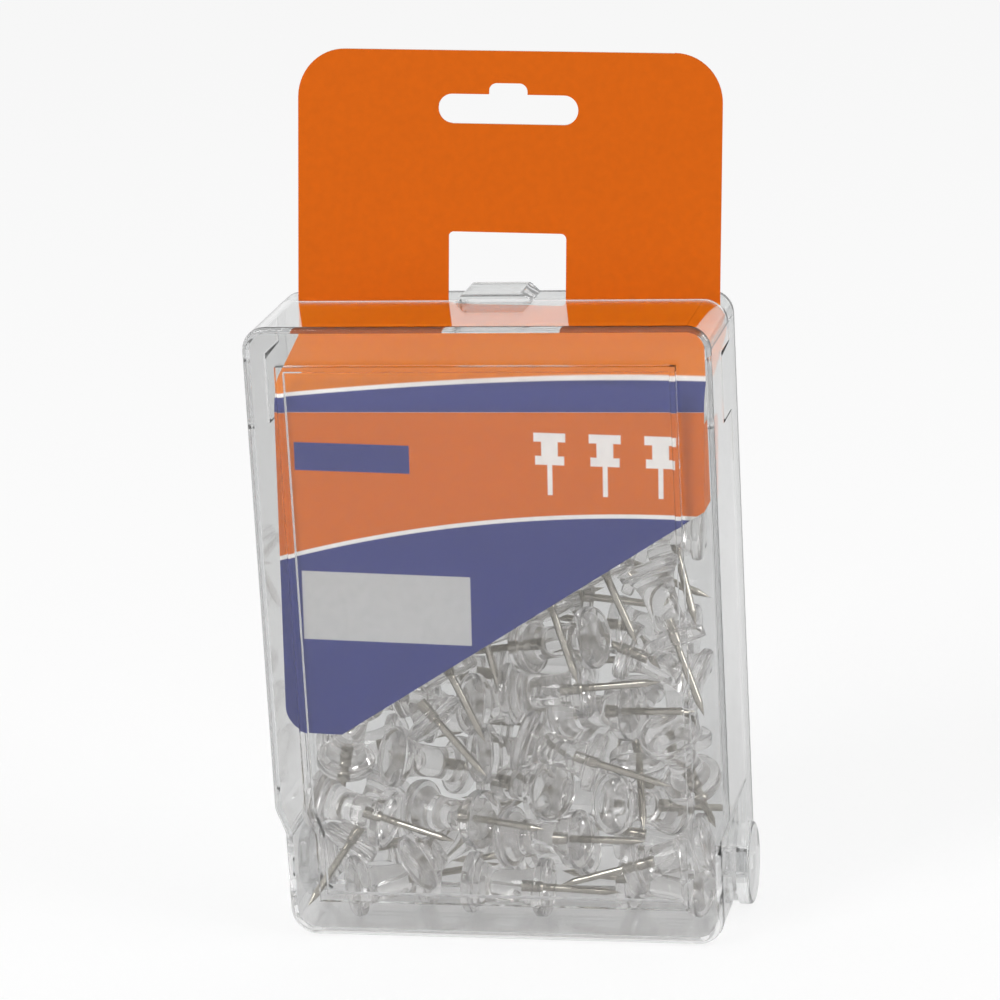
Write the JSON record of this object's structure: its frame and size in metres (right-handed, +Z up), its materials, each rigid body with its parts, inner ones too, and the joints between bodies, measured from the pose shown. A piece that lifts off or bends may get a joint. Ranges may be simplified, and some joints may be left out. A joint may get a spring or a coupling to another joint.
{
  "type": "boxed push pins",
  "caption": "Clear hinged retail box with a folded hanging header card, filled with loose clear push pins; the rear lid swings back on two side studs.",
  "frame": {"origin": "middle of the bounding box at the table", "axes": "+X to the right seen from the front, +Y from the raised front panel to the lid, +Z up"},
  "size_m": [0.0696, 0.0244, 0.1293],
  "materials": {
    "clear_case": "clear moulded polystyrene, glossy",
    "printed_card": "coated board printed orange and blue, satin",
    "clear_handle": "clear moulded polystyrene, glossy",
    "plated_needle": "nickel-plated steel wire, bright"
  },
  "bodies": {
    "tray": {"front_tray": "clear_case", "header_card": "printed_card", "pin_handles_01": "clear_handle", "pin_handles_02": "clear_handle", "pin_handles_03": "clear_handle", "pin_handles_04": "clear_handle", "pin_handles_05": "clear_handle", "pin_handles_06": "clear_handle", "pin_handles_07": "clear_handle", "pin_handles_08": "clear_handle", "pin_handles_09": "clear_handle", "pin_handles_10": "clear_handle", "pin_needles_01": "plated_needle", "pin_needles_02": "plated_needle", "pin_needles_03": "plated_needle", "pin_needles_04": "plated_needle", "pin_needles_05": "plated_needle", "pin_needles_06": "plated_needle", "pin_needles_07": "plated_needle", "pin_needles_08": "plated_needle", "pin_needles_09": "plated_needle", "pin_needles_10": "plated_needle"},
    "lid": {"rear_lid": "clear_case"}
  },
  "joints": [
    {"name": "lid_hinge", "type": "hinge", "parent": "tray", "child": "lid", "pos_m": [0, 0.00605, 0.0065], "axis": [-1, 0, 0], "range_deg": [0, 90]}
  ]
}
